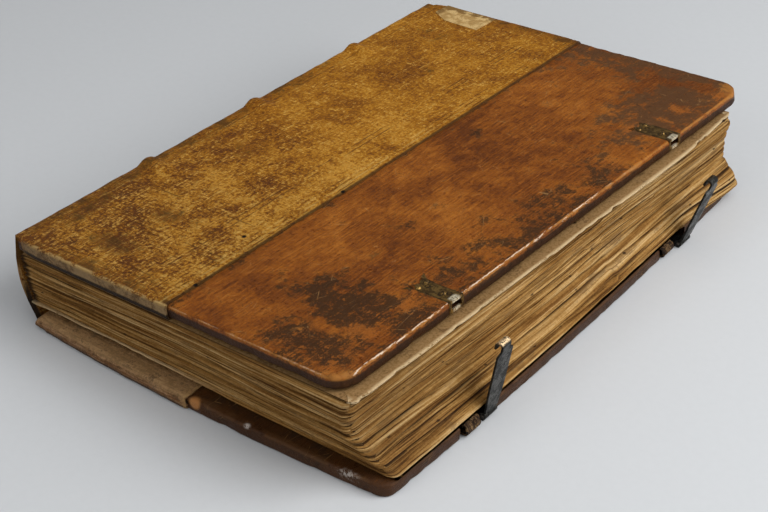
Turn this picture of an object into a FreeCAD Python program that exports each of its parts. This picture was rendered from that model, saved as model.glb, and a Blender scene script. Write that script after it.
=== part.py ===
import FreeCAD, Part
import Sketcher
import math
import os
from FreeCAD import Placement, Rotation, Vector

# An old half-leather book in wooden boards, with two hinged clasps. Millimetres and degrees.
# The part's origin is the middle of the lower cover's underside: +X to the fore-edge, +Y to the head, +Z up.
# Shapes are drawn in a bench frame whose origin is the lower board's bottom corner at spine and tail.
# The upper cover's pieces have a frame of their own, with its zero at the same corner of the upper board's top.

doc = FreeCAD.newDocument("book")
sheet = doc.addObject("Spreadsheet::Sheet", "sizes")

sizes = {
    # boards
    "board_width": 208.0,
    "board_height": 320.0,
    "board_thickness": 7.0,
    "arris_radius": 1.6,
    "upper_corner_radius": 12.0,
    "lower_corner_radius": 6.0,
    "tail_bow": 4.0,
    "fore_bow": 3.5,
    # leather
    "leather_thickness": 1.0,
    "upper_leather_width": 104.0,
    "lower_leather_width": 98.0,
    "upper_rabbet": 0.6,
    "turn_in": 14.0,
    "flap_width": 10.4,
    "upper_overhang": 3.9,
    "soft_gap": 0.3,
    # how the upper cover lies
    "cover_shift_x": -17.4,
    "cover_shift_y": 5.4,
    "cover_height": 44.3,
    "cover_turn": -3.35,
    "cover_tilt": 4.29,
    "cover_rise": 0.7,
    # spine
    "spine_bulge": 4.2,
    "spine_leather": 1.6,
    "spine_end_leather": 3.4,
    "spine_foot_tail": 4.4,
    # raised bands and what lies under them
    "band_tail": 88.0,
    "band_middle": 166.0,
    "band_head": 247.0,
    "band_height": 3.4,
    "band_width": 11.0,
    "cord_radius": 2.2,
    "cord_start": 0.14,
    "cord_end": 0.88,
    "slip_length": 35.0,
    "slip_width": 6.6,
    "slip_depth": 2.4,
    "slip_clearance": 0.2,
    "peg_radius": 3.0,
    "ridge_length": 22.0,
    "ridge_height": 1.9,
    # pages: the fore-edge reach and the high width count from the board's width
    "pages_spine_tail": -10.7,
    "pages_spine_head": -6.8,
    "pages_fore_reach": -0.5,
    "pages_tail_low": 5.5,
    "pages_tail_high": -1.0,
    "pages_width_high": 3.3,
    "pages_height": 306.5,
    "pages_bow": 2.4,
    "hollow_tail": 10.0,
    "hollow_head": 6.0,
    "gatherings": 20,
    "gathering_wave": 1.5,
    "fore_groove": 1.3,
    "end_groove": 0.8,
    # catch plates on the upper board
    "catch_tail": 76.7,
    "catch_head": 253.3,
    "catch_width": 10.0,
    "catch_length": 20.8,
    "catch_thickness": 1.0,
    "catch_drop": 6.0,
    "catch_clearance": 0.3,
    "wing_reach": 25.2,
    "wing_spread": 8.3,
    "window_width": 7.0,
    "window_height": 3.2,
    "window_depth": 4.0,
    "window_top": 1.3,
    "catch_rivet_radius": 0.8,
    "catch_rivet_length": 4.5,
    "rivet_head_radius": 1.5,
    "rivet_head_height": 0.7,
    "rivet_spread": 5.6,
    # clasps on the lower board: pins lie past its fore-edge, notches reach in from it
    "clasp_tail": 73.6,
    "clasp_head": 250.0,
    "pin_reach_tail": 2.0,
    "pin_reach_head": 4.3,
    "pin_height": 2.6,
    "lean_tail": 10.5,
    "lean_head": 18.5,
    "arm_width": 9.4,
    "arm_spread": 12.0,
    "arm_tip_width": 6.4,
    "arm_thickness": 1.0,
    "arm_offset": 0.4,
    "arm_length": 41.6,
    "arm_shoulder": 38.0,
    "hook_radius": 1.2,
    "hook_lip": 2.2,
    "pin_radius": 0.85,
    "pin_clearance": 0.05,
    "pin_end": 0.4,
    "knuckle_radius": 1.9,
    "knuckle_width": 4.4,
    "knuckle_gap": 0.3,
    "anchor_length": 26.0,
    "anchor_rivet_radius": 1.0,
    "anchor_rivet_length": 5.0,
    "notch_reach": 2.6,
    "notch_tail": 22.0,
    "notch_head": 5.8,
    # label, its place down from the head
    "label_length": 36.0,
    "label_width": 17.0,
    "label_thickness": 0.3,
    "label_x": 9.0,
    "label_y": 17.0,
    "label_turn": -2.5,
    "label_torn_corner": 6.0,
}
for row, (alias, number) in enumerate(sizes.items(), start=1):
    sheet.set(f"A{row}", alias)
    sheet.set(f"B{row}", str(number))
    sheet.setAlias(f"B{row}", alias)
doc.recompute()


def value(expression):
    """The number that an expression on the sheet gives."""
    return float(sheet.evalExpression(str(expression)))


def size(alias):
    return float(sheet.get(alias))


def of(alias):
    return f"sizes.{alias}"


far = "500"  # past every edge of the book

# Placements: the bench's corner in the part's frame, and the upper cover on the bench.
bench = Placement(Vector(-size("board_width") / 2, -size("board_height") / 2, 0), Rotation())
cover_rotation = Rotation(size("cover_turn"), -size("cover_tilt"), size("cover_rise"))
cover = Placement(Vector(size("cover_shift_x"), size("cover_shift_y"), size("cover_height")), cover_rotation)
bands = {"tail": of("band_tail"), "middle": of("band_middle"), "head": of("band_head")}


def foot_along(place):
    """Where the spine stands on the lower cover: it is set back at the tail and flush at the head."""
    edge, height, back = of("leather_thickness"), of("board_height"), of("spine_foot_tail")
    share = f"({place} + {edge}) / ({height} + 2 * {edge})"
    return f"({back} + {share} * ({height} + {edge} - {back}))"


parts = []


def keep(part, label, placement):
    part.Label = label
    part.Placement = bench * placement
    parts.append(part)


# Sketching helpers: every length is an expression on the sheet.

def new_body(name):
    body = doc.addObject("PartDesign::Body", name)
    body.Label = name
    return body


def plane_of(body, role):
    return next(feature for feature in body.Origin.OriginFeatures if feature.Role == role)


def new_sketch(body, name, role="XY_Plane", height="0"):
    sketch = body.newObject("Sketcher::SketchObject", name)
    sketch.AttachmentSupport = (plane_of(body, role), [""])
    sketch.MapMode = "FlatFace"
    sketch.setExpression("AttachmentOffset.Base.z", height)
    return sketch


def fix(sketch, kind, geometry, point, expression):
    index = sketch.addConstraint(Sketcher.Constraint(kind, -1, 1, geometry, point, value(expression)))
    sketch.setExpression(f"Constraints[{index}]", expression)


def add_outline(sketch, points, arcs=None):
    """A closed outline through points. arcs gives a side's centre, by axis and place, and its turn."""
    arcs = arcs or {}
    first = sketch.GeometryCount
    corners = [Vector(value(x), value(y), 0) for x, y in points]
    count = len(points)
    ends = []
    for side in range(count):
        start, end = corners[side], corners[(side + 1) % count]
        if side not in arcs:
            sketch.addGeometry(Part.LineSegment(start, end), False)
            ends.append((1, 2))
            continue
        axis, place, turn = arcs[side]
        middle = (start + end) / 2
        centre = Vector(value(place), middle.y, 0) if axis == "x" else Vector(middle.x, value(place), 0)
        radius = (start - centre).Length
        angle = [math.atan2(p.y - centre.y, p.x - centre.x) for p in (start, end)]
        order = angle if turn > 0 else angle[::-1]
        circle = Part.Circle(centre, Vector(0, 0, 1), radius)
        sketch.addGeometry(Part.ArcOfCircle(circle, order[0], order[1]), False)
        ends.append((1, 2) if turn > 0 else (2, 1))
    for side in range(count):
        after = (side + 1) % count
        joint = Sketcher.Constraint("Coincident", first + side, ends[side][1], first + after, ends[after][0])
        sketch.addConstraint(joint)
    for side, (x, y) in enumerate(points):
        fix(sketch, "DistanceX", first + side, ends[side][0], x)
        fix(sketch, "DistanceY", first + side, ends[side][0], y)
    for side, (axis, place, turn) in arcs.items():
        fix(sketch, "DistanceX" if axis == "x" else "DistanceY", first + side, 3, place)


def add_rectangle(sketch, left, bottom, right, top):
    add_outline(sketch, [(left, bottom), (right, bottom), (right, top), (left, top)])


def add_circle(sketch, x, y, radius):
    circle = Part.Circle(Vector(value(x), value(y), 0), Vector(0, 0, 1), value(radius))
    index = sketch.addGeometry(circle, False)
    fix(sketch, "DistanceX", index, 3, x)
    fix(sketch, "DistanceY", index, 3, y)
    constraint = sketch.addConstraint(Sketcher.Constraint("Radius", index, value(radius)))
    sketch.setExpression(f"Constraints[{constraint}]", radius)


def pad(body, sketch, length, midplane=False):
    feature = body.newObject("PartDesign::Pad", f"{sketch.Name}_pad")
    feature.Profile = sketch
    feature.Midplane = midplane
    feature.setExpression("Length", length)
    sketch.Visibility = False
    doc.recompute()
    return feature


def pocket(body, sketch, depth, upwards=True, midplane=False):
    """Cuts from the sketch's plane along its normal, or against it."""
    before = body.Shape.Volume
    feature = body.newObject("PartDesign::Pocket", f"{sketch.Name}_pocket")
    feature.Profile = sketch
    feature.Midplane = midplane
    feature.Reversed = upwards
    feature.setExpression("Length", depth)
    doc.recompute()
    if body.Shape.Volume > before - 0.01:
        raise RuntimeError(f"{feature.Name} cut nothing")
    return feature


def fillet(body, feature, chosen, radius):
    edges = [f"Edge{n}" for n, edge in enumerate(feature.Shape.Edges, start=1) if chosen(edge)]
    rounded = body.newObject("PartDesign::Fillet", f"{feature.Name}_fillet")
    rounded.Base = (feature, edges)
    rounded.setExpression("Radius", radius)
    doc.recompute()
    return rounded


def is_upright(edge):
    a, b = edge.Vertexes[0].Point, edge.Vertexes[-1].Point
    return abs(a.x - b.x) < 0.01 and abs(a.y - b.y) < 0.01 and abs(a.z - b.z) > 0.01


def is_level(edge):
    heights = [v.Point.z for v in edge.Vertexes]
    return max(heights) - min(heights) < 0.01


# Boards

def lower_outline(sketch, margin="0"):
    """The lower board's outline: straight at spine and head, worn to shallow bows at tail and fore-edge."""
    left, bottom = f"-({margin})", f"-({margin})"
    right, top = f"{of('board_width')} + {margin}", f"{of('board_height')} + {margin}"
    tail_radius = f"({of('board_width')} ^ 2 / 4 + {of('tail_bow')} ^ 2) / (2 * {of('tail_bow')})"
    fore_radius = f"({of('board_height')} ^ 2 / 4 + {of('fore_bow')} ^ 2) / (2 * {of('fore_bow')})"
    tail_centre = f"{tail_radius} - {of('tail_bow')} - ({margin})"
    fore_centre = f"{right} + {of('fore_bow')} - {fore_radius}"
    add_outline(sketch, [(left, bottom), (right, bottom), (right, top), (left, top)],
                {0: ("y", tail_centre, 1), 1: ("x", fore_centre, 1)})


def cut_slip_seats(body, places, face, upwards):
    """Channels for the slips in a board's outer face, and the peg holes through to the other side."""
    channels = new_sketch(body, f"{body.Name}_channels", height=face)
    holes = new_sketch(body, f"{body.Name}_peg_holes", height=face)
    half = f"{of('slip_width')} / 2 + {of('slip_clearance')}"
    for place in places:
        add_rectangle(channels, "-1", f"{place} - ({half})", f"{of('slip_length')} + {of('slip_clearance')}",
                      f"{place} + {half}")
        add_circle(holes, peg_x, place, of("peg_radius"))
    pocket(body, channels, f"{of('slip_depth')} + {of('slip_clearance')}", upwards)
    pocket(body, holes, of("board_thickness"), upwards)


peg_x = f"{of('slip_length')} - {of('peg_radius')} - {of('slip_clearance')}"
upper_places = list(bands.values())
lower_places = [foot_along(place) for place in upper_places]


def lower_board():
    body = new_body("lower_board")
    outline = new_sketch(body, "lower_board_outline")
    lower_outline(outline)
    block = pad(body, outline, of("board_thickness"))
    middle = size("board_width") / 2
    corners = fillet(body, block, lambda e: is_upright(e) and e.Vertexes[0].Point.x > middle,
                     of("lower_corner_radius"))
    fillet(body, corners, lambda e: is_level(e) and e.CenterOfMass.x > 1, of("arris_radius"))
    rabbet = new_sketch(body, "lower_board_rabbet")
    add_rectangle(rabbet, "-1", f"-{far}", of("lower_leather_width"), far)
    pocket(body, rabbet, of("leather_thickness"))
    cut_slip_seats(body, lower_places, of("leather_thickness"), upwards=True)
    for end in ("tail", "head"):
        cut_clasp_seat(body, end)
    return body


def cut_clasp_seat(body, end):
    """The notch in the fore-edge, the anchor plate's recess and its rivet holes."""
    place = of(f"clasp_{end}")
    recess = new_sketch(body, f"{end}_anchor_recess")
    half = f"{of('arm_width')} / 2 + {of('slip_clearance')}"
    inner = f"{pin_line(end)} - {of('anchor_length')} - {of('slip_clearance')}"
    add_rectangle(recess, inner, f"{place} - ({half})", far, f"{place} + {half}")
    pocket(body, recess, of("catch_thickness"))
    notch = new_sketch(body, f"{end}_notch")
    floor = f"{of('board_width')} - {of('notch_reach')}"
    add_rectangle(notch, floor, f"{place} - {of('notch_tail')}", far, f"{place} + {of('notch_head')}")
    pocket(body, notch, of("board_thickness"))
    holes = new_sketch(body, f"{end}_anchor_rivet_holes")
    for x in anchor_rivet_places(end):
        add_circle(holes, x, place, of("anchor_rivet_radius"))
    pocket(body, holes, of("anchor_rivet_length"))


def pin_line(end):
    """How far from the spine side of the lower board a clasp's pin lies."""
    return f"{of('board_width')} + {of('pin_reach_' + end)}"


def anchor_rivet_places(end):
    return [f"{pin_line(end)} - {share} * {of('anchor_length')}" for share in (0.45, 0.85)]


def upper_board():
    body = new_body("upper_board")
    outline = new_sketch(body, "upper_board_outline", height=f"-{of('board_thickness')}")
    add_rectangle(outline, "0", "0", of("board_width"), of("board_height"))
    block = pad(body, outline, of("board_thickness"))
    middle = size("board_width") / 2
    corners = fillet(body, block, lambda e: is_upright(e) and e.Vertexes[0].Point.x > middle,
                     of("upper_corner_radius"))
    fillet(body, corners, lambda e: is_level(e) and e.CenterOfMass.x > 1, of("arris_radius"))
    rabbet = new_sketch(body, "upper_board_rabbet")
    add_rectangle(rabbet, "-1", f"-{far}", of("upper_leather_width"), far)
    pocket(body, rabbet, of("upper_rabbet"), upwards=False)
    cut_slip_seats(body, upper_places, f"-{of('upper_rabbet')}", upwards=False)
    for end in ("tail", "head"):
        cut_catch_seat(body, end)
    return body


def catch_outline(sketch, place, margin):
    """A catch plate from above: straight sides, and two wings that flare from its inner end."""
    edge = of("board_width")
    half = f"{of('catch_width')} / 2 + {margin}"
    spread = f"{of('wing_spread')} + {margin}"
    root = f"{edge} - {of('catch_length')}"
    tip = f"{edge} - {of('wing_reach')} - {margin}"
    lobe = f"{tip} + 0.45 * ({of('wing_reach')} - {of('catch_length')})"
    half_outline = [(edge, half), (root, half), (tip, spread), (lobe, f"0.55 * ({half})"), (root, "0")]
    points = [(x, f"{place} + {y}") for x, y in half_outline]
    points += [(x, f"{place} - ({y})") for x, y in reversed(half_outline[:-1])]
    add_outline(sketch, points)


def catch_rivet_places(end):
    place = of(f"catch_{end}")
    inner = f"{of('board_width')} - {of('catch_length')} + {of('catch_rivet_radius')} + 0.6"
    outer = f"{of('board_width')} - 0.36 * {of('catch_length')}"
    half = f"{of('rivet_spread')} / 2"
    return [(inner, f"{place} - {half}"), (inner, f"{place} + {half}"), (outer, place)]


def add_window(sketch, place):
    """The slot that a clasp's hook drops into, on a sketch that faces the fore-edge."""
    half = f"{of('window_width')} / 2"
    add_rectangle(sketch, f"{place} - {half}", f"-{of('window_top')} - {of('window_height')}",
                  f"{place} + {half}", f"-{of('window_top')}")


def cut_catch_seat(body, end):
    place = of(f"catch_{end}")
    seat = new_sketch(body, f"{end}_catch_seat")
    catch_outline(seat, place, of("catch_clearance"))
    pocket(body, seat, of("catch_thickness"), upwards=False)
    front = new_sketch(body, f"{end}_catch_front_seat", "YZ_Plane",
                       f"{of('board_width')} - {of('catch_thickness')}")
    half = f"{of('catch_width')} / 2 + {of('catch_clearance')}"
    add_rectangle(front, f"{place} - ({half})", f"-{of('catch_drop')} - {of('catch_clearance')}",
                  f"{place} + {half}", "1")
    pocket(body, front, far)
    hollow = new_sketch(body, f"{end}_catch_hollow", "YZ_Plane",
                        f"{of('board_width')} - {of('catch_thickness')}")
    add_window(hollow, place)
    pocket(body, hollow, of("window_depth"), upwards=False)
    holes = new_sketch(body, f"{end}_catch_rivet_holes")
    for x, y in catch_rivet_places(end):
        add_circle(holes, x, y, of("catch_rivet_radius"))
    pocket(body, holes, of("catch_rivet_length"), upwards=False)


# Covering leather

def lower_cover_leather():
    """Skin under the lower board's spine half, turned in at head and tail, with a flap out to the spine."""
    body = new_body("lower_cover_leather")
    wrap = new_sketch(body, "lower_wrap")
    lower_outline(wrap, of("leather_thickness"))
    pad(body, wrap, f"{of('board_thickness')} + {of('leather_thickness')}")
    bare = new_sketch(body, "lower_bare_wood")
    add_rectangle(bare, of("lower_leather_width"), f"-{far}", far, far)
    pocket(body, bare, far)
    seat = new_sketch(body, "lower_board_seat", height=of("leather_thickness"))
    lower_outline(seat)
    pocket(body, seat, f"{of('board_thickness')} - {of('leather_thickness')}")
    joint = new_sketch(body, "lower_joint_side", height=of("leather_thickness"))
    add_rectangle(joint, f"-{far}", f"-{far}", "0", far)
    pocket(body, joint, far)
    inside = new_sketch(body, "lower_turn_in_edge", height=of("board_thickness"))
    add_rectangle(inside, "-1", of("turn_in"), far, f"{of('board_height')} - {of('turn_in')}")
    pocket(body, inside, far)
    flap = new_sketch(body, "lower_flap")
    edge, head = of("leather_thickness"), f"{of('board_height')} + {of('leather_thickness')}"
    foot = f"-{of('flap_width')}"
    add_outline(flap, [(foot, foot_along(f"-{edge}")), ("0", f"-{edge}"), ("1", f"-{edge}"), ("1", head),
                       (foot, head)])
    pad(body, flap, of("leather_thickness"))
    return body


def upper_cover_leather():
    """Skin over the upper board's spine half, out to the hinge line, with low ridges over the slips."""
    body = new_body("upper_cover_leather")
    skin_top = f"{of('leather_thickness')} - {of('upper_rabbet')}"
    lowest = f"-{of('board_thickness')} - {of('leather_thickness')}"
    wrap = new_sketch(body, "upper_wrap", height=lowest)
    add_rectangle(wrap, f"-{of('upper_overhang')}", f"-{of('leather_thickness')}", of("upper_leather_width"),
                  f"{of('board_height')} + {of('leather_thickness')}")
    pad(body, wrap, f"{skin_top} - ({lowest})")
    for end, place in bands.items():
        ridge_radius = f"{of('ridge_height')} + {of('leather_thickness')}"
        add_ridge(body, f"{end}_ridge", place, "0", of("ridge_length"), ridge_radius, "0.8")
        add_ridge(body, f"{end}_ridge_start", place, f"-{of('upper_overhang')} + 0.2",
                  f"{of('upper_overhang')} - 0.2", "1.2", ridge_radius)
    seat = new_sketch(body, "upper_board_seat", height=f"-{of('board_thickness')}")
    add_rectangle(seat, f"-{far}", "0", far, of("board_height"))
    pocket(body, seat, f"{of('board_thickness')} - {of('upper_rabbet')}")
    joint = new_sketch(body, "upper_joint_side", height=lowest)
    add_rectangle(joint, f"-{far}", f"-{far}", "0", far)
    pocket(body, joint, f"-{of('upper_rabbet')} - ({lowest})")
    inside = new_sketch(body, "upper_turn_in_edge", height=lowest)
    add_rectangle(inside, "-1", of("turn_in"), far, f"{of('board_height')} - {of('turn_in')}")
    pocket(body, inside, of("leather_thickness"))
    return body


def add_ridge(body, name, place, start, length, radius_1, radius_2):
    cone = body.newObject("PartDesign::AdditiveCone", name)
    cone.AttachmentSupport = (plane_of(body, "YZ_Plane"), [""])
    cone.MapMode = "FlatFace"
    cone.setExpression("AttachmentOffset.Base.x", place)
    cone.setExpression("AttachmentOffset.Base.y", f"-{of('upper_rabbet')}")
    cone.setExpression("AttachmentOffset.Base.z", start)
    cone.setExpression("Height", length)
    cone.setExpression("Radius1", radius_1)
    cone.setExpression("Radius2", radius_2)
    doc.recompute()


def spine_section(along, thickness, bump):
    """The spine leather's section at one place: two arcs from the foot to the upper hinge line."""
    skin_bottom = -size("upper_rabbet")
    foot_height = size("leather_thickness") + size("soft_gap")
    foot = Vector(-size("flap_width"), value(foot_along(along)), foot_height)
    top = cover.multVec(Vector(-size("upper_overhang"), along, skin_bottom - size("soft_gap")))
    middle = (foot + top) / 2 - Vector(size("spine_bulge") + bump, 0, 0)
    inward = Vector(thickness, 0, 0)
    outer = Part.Arc(foot, middle, top).toShape()
    inner = Part.Arc(top + inward, middle + inward, foot + inward).toShape()
    ends = [Part.LineSegment(top, top + inward).toShape(), Part.LineSegment(foot + inward, foot).toShape()]
    return Part.Wire([outer, ends[0], inner, ends[1]])


def spine_leather():
    """Skin over the spine, doubled where it is turned in at head and tail, raised over the three bands."""
    edge = size("leather_thickness")
    first, last = -edge, size("board_height") + edge
    turn, step = size("turn_in"), size("soft_gap")
    thin, thick = size("spine_leather"), size("spine_end_leather")
    stations = [(first, thick, 0), (turn, thick, 0), (turn + step, thin, 0)]
    for alias in ("band_tail", "band_middle", "band_head"):
        for share in (-1, -0.6, -0.25, 0.25, 0.6, 1):
            bump = size("band_height") * (1 - share ** 2) ** 0.75
            stations.append((size(alias) + share * size("band_width") / 2, thin, bump))
    inner_head = size("board_height") - turn
    stations += [(inner_head - step, thin, 0), (inner_head, thick, 0), (last, thick, 0)]
    skin = doc.addObject("Part::Feature", "spine_leather")
    skin.Shape = Part.makeLoft([spine_section(*station) for station in stations], True, True)
    return skin


# Pages

def page_corners():
    """The lowest leaf's corners on the bench, and the highest leaf's under the skewed upper cover."""
    low = size("board_thickness") + size("leather_thickness") + size("soft_gap")
    fore = size("board_width") + size("pages_fore_reach")
    tail, head = size("pages_tail_low"), size("pages_tail_low") + size("pages_height")
    lowest = [Vector(size("pages_spine_tail"), tail, low), Vector(fore, tail, low), Vector(fore, head, low),
              Vector(size("pages_spine_head"), head, low)]
    inset = size("soft_gap") + size("leather_thickness")
    right = inset + size("board_width") + size("pages_width_high")
    tail, head = size("pages_tail_high"), size("pages_tail_high") + size("pages_height")
    under = [Vector(inset, tail, -low), Vector(right, tail, -low), Vector(right, head, -low),
             Vector(inset, head, -low)]
    return lowest, [cover.multVec(corner) for corner in under]


def leaf_outline(share, groove):
    """The pages' outline at a share of their height, drawn in by a share of the groove's depth."""
    corners = [low + (high - low) * share for low, high in zip(*page_corners())]
    fore, end = groove * size("fore_groove"), groove * size("end_groove")
    drawn_in = [Vector(end, end, 0), Vector(-fore, end, 0), Vector(-fore, -end, 0), Vector(end, -end, 0)]
    spine_tail, fore_tail, fore_head, spine_head = [c + d for c, d in zip(corners, drawn_in)]
    swell = math.sin(math.pi * share)
    fore_tail.x -= size("hollow_tail") * swell
    fore_head.x -= size("hollow_head") * swell
    edge = []
    for step in range(9):
        along = step / 8
        wave = math.sin(2 * math.pi * (1.6 * along + 0.35 * share)) * (0.35 + 0.65 * along)
        lift = size("gathering_wave") * swell * wave * math.sin(math.pi * along)
        bow = size("pages_bow") * (1 - share) * math.sin(math.pi * along)
        edge.append(fore_tail + (fore_head - fore_tail) * along + Vector(bow, 0, lift))
    fore_edge = Part.BSplineCurve()
    fore_edge.interpolate(edge)
    sides = [Part.LineSegment(spine_tail, fore_tail), fore_edge, Part.LineSegment(fore_head, spine_head),
             Part.LineSegment(spine_head, spine_tail)]
    return Part.Wire([side.toShape() for side in sides])


def text_block():
    """All the pages as one solid: each gathering stands out as a ridge between two grooves."""
    count = int(size("gatherings"))
    edges = [n + 0.28 * math.sin(2.4 * n) for n in range(count + 1)]
    edges[0], edges[-1] = 0, count
    outlines = []
    for lower, upper in zip(edges, edges[1:]):
        outlines.append(leaf_outline(lower / count, 1))
        outlines.append(leaf_outline((0.75 * lower + 0.25 * upper) / count, 0.1))
        outlines.append(leaf_outline((0.25 * lower + 0.75 * upper) / count, 0))
    outlines.append(leaf_outline(1, 1))
    block = doc.addObject("Part::Feature", "text_block")
    block.Shape = Part.makeLoft(outlines, True, True)
    return block


# What the spine holds: sewing supports, their slips in the boards, and the pegs

def sewing_support(end):
    """The stretch of one support that lies along the back of the pages, under its raised band."""
    lowest, highest = page_corners()
    share = (value(foot_along(bands[end])) - lowest[0].y) / size("pages_height")
    foot = lowest[0] + (lowest[3] - lowest[0]) * share
    inset, low = size("soft_gap") + size("leather_thickness"), lowest[0].z
    top = cover.multVec(Vector(inset, value(bands[end]), -low))
    back = top - foot
    out = Vector(-back.z, 0, back.x).normalize()
    start = foot + back * size("cord_start") + out * (size("cord_radius") + size("soft_gap") / 2)
    cord = doc.addObject("Part::Cylinder", f"{end}_sewing_support")
    cord.setExpression("Radius", of("cord_radius"))
    cord.Height = back.Length * (size("cord_end") - size("cord_start"))
    return cord, Placement(start, Rotation(Vector(0, 0, 1), back))


def slips(name, places, lowest):
    boxes = []
    for number, place in enumerate(places, start=1):
        box = doc.addObject("Part::Box", f"{name}_{number}")
        box.setExpression("Length", f"{of('slip_length')} - {of('slip_clearance')}")
        box.setExpression("Width", of("slip_width"))
        box.setExpression("Height", of("slip_depth"))
        box.setExpression("Placement.Base.x", of("slip_clearance"))
        box.setExpression("Placement.Base.y", f"{place} - {of('slip_width')} / 2")
        box.setExpression("Placement.Base.z", lowest)
        boxes.append(box)
    return group(name, boxes)


def pegs(name, places, lowest, length):
    pins = []
    for number, place in enumerate(places, start=1):
        pins.append(upright_cylinder(f"{name}_{number}", of("peg_radius"), length, peg_x, place, lowest))
    return group(name, pins)


def upright_cylinder(name, radius, height, x, y, z):
    cylinder = doc.addObject("Part::Cylinder", name)
    cylinder.setExpression("Radius", radius)
    cylinder.setExpression("Height", height)
    cylinder.setExpression("Placement.Base.x", x)
    cylinder.setExpression("Placement.Base.y", y)
    cylinder.setExpression("Placement.Base.z", z)
    return cylinder


def group(name, members):
    """Like pieces as one node of separate solids."""
    compound = doc.addObject("Part::Compound", name)
    compound.Links = members
    return compound


# Catch plates

def catch_plate(end):
    place = of(f"catch_{end}")
    body = new_body(f"{end}_catch_plate")
    flange = new_sketch(body, f"{end}_catch_flange", height=f"-{of('catch_thickness')}")
    catch_outline(flange, place, "0")
    for x, y in catch_rivet_places(end):
        add_circle(flange, x, y, of("catch_rivet_radius"))
    pad(body, flange, of("catch_thickness"))
    back = f"{of('board_width')} - {of('catch_thickness')}"
    front = new_sketch(body, f"{end}_catch_front", "YZ_Plane", back)
    half = f"{of('catch_width')} / 2"
    add_rectangle(front, f"{place} - {half}", f"-{of('catch_drop')}", f"{place} + {half}", "0")
    add_window(front, place)
    pad(body, front, of("catch_thickness"))
    return body


def catch_rivets(end):
    rivets = []
    for number, (x, y) in enumerate(catch_rivet_places(end), start=1):
        name = f"{end}_catch_rivet_{number}"
        shank = upright_cylinder(f"{name}_shank", of("catch_rivet_radius"), of("catch_rivet_length"), x, y,
                                 f"-{of('catch_rivet_length')}")
        head = doc.addObject("Part::Cone", f"{name}_head")
        head.setExpression("Radius1", of("rivet_head_radius"))
        head.setExpression("Radius2", f"0.6 * {of('rivet_head_radius')}")
        head.setExpression("Height", of("rivet_head_height"))
        head.setExpression("Placement.Base.x", x)
        head.setExpression("Placement.Base.y", y)
        rivet = doc.addObject("Part::Fuse", name)
        rivet.Base, rivet.Tool = shank, head
        rivets.append(rivet)
    return group(f"{end}_catch_rivets", rivets)


# Clasps, each drawn about its own pin: the pin lies along Y through the origin

def clasp_arm(end):
    body = new_body(f"{end}_clasp_arm")
    inner, outer = of("arm_offset"), f"{of('arm_offset')} + {of('arm_thickness')}"
    lip_outer = f"{inner} - 2 * {of('hook_radius')} - {of('arm_thickness')}"
    lip_inner = f"{inner} - 2 * {of('hook_radius')}"
    crown, lip = of("arm_length"), f"{of('arm_length')} - {of('hook_lip')}"
    side = new_sketch(body, f"{end}_arm_side", "XZ_Plane")
    add_outline(side, [(inner, "0"), (inner, crown), (lip_inner, crown), (lip_inner, lip), (lip_outer, lip),
                       (lip_outer, crown), (outer, crown), (outer, "0")],
                {1: ("y", crown, 1), 5: ("y", crown, -1)})
    pad(body, side, of("arm_spread"), midplane=True)
    trim = new_sketch(body, f"{end}_arm_trim", "YZ_Plane")
    widths = ("arm_width", "arm_spread", "arm_tip_width", "knuckle_width")
    foot, wide, tip, tongue = (f"{of(alias)} / 2" for alias in widths)
    root, flare = f"{of('knuckle_radius')} + {of('knuckle_gap')} + 0.3", "0.35 * " + of("arm_length")
    shoulder, top = of("arm_shoulder"), f"{of('arm_length')} + 9"
    for sign in ("-", ""):
        places = (tongue, foot, wide, tip, f"{wide} + 1")
        inner, outer, side_line, near, beyond = (f"{sign}({place})" for place in places)
        add_outline(trim, [(inner, "-1"), (beyond, "-1"), (beyond, flare), (side_line, flare), (outer, root),
                           (inner, root)])
        add_outline(trim, [(side_line, shoulder), (beyond, shoulder), (beyond, top), (near, top),
                           (near, f"{shoulder} + 1.5")])
    pocket(body, trim, "40", midplane=True)
    knuckle = body.newObject("PartDesign::AdditiveCylinder", f"{end}_arm_knuckle")
    lay_along_pin(body, knuckle, f"-{tongue}")
    knuckle.setExpression("Radius", of("knuckle_radius"))
    knuckle.setExpression("Height", of("knuckle_width"))
    doc.recompute()
    bore = new_sketch(body, f"{end}_arm_bore", "XZ_Plane")
    add_circle(bore, "0", "0", f"{of('pin_radius')} + {of('pin_clearance')}")
    pocket(body, bore, "40", midplane=True)
    return body


def lay_along_pin(body, feature, start):
    """Puts a cylinder's axis on the pin. The plane faces the tail, so places count from there."""
    feature.AttachmentSupport = (plane_of(body, "XZ_Plane"), [""])
    feature.MapMode = "FlatFace"
    feature.setExpression("AttachmentOffset.Base.z", start)


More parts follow.
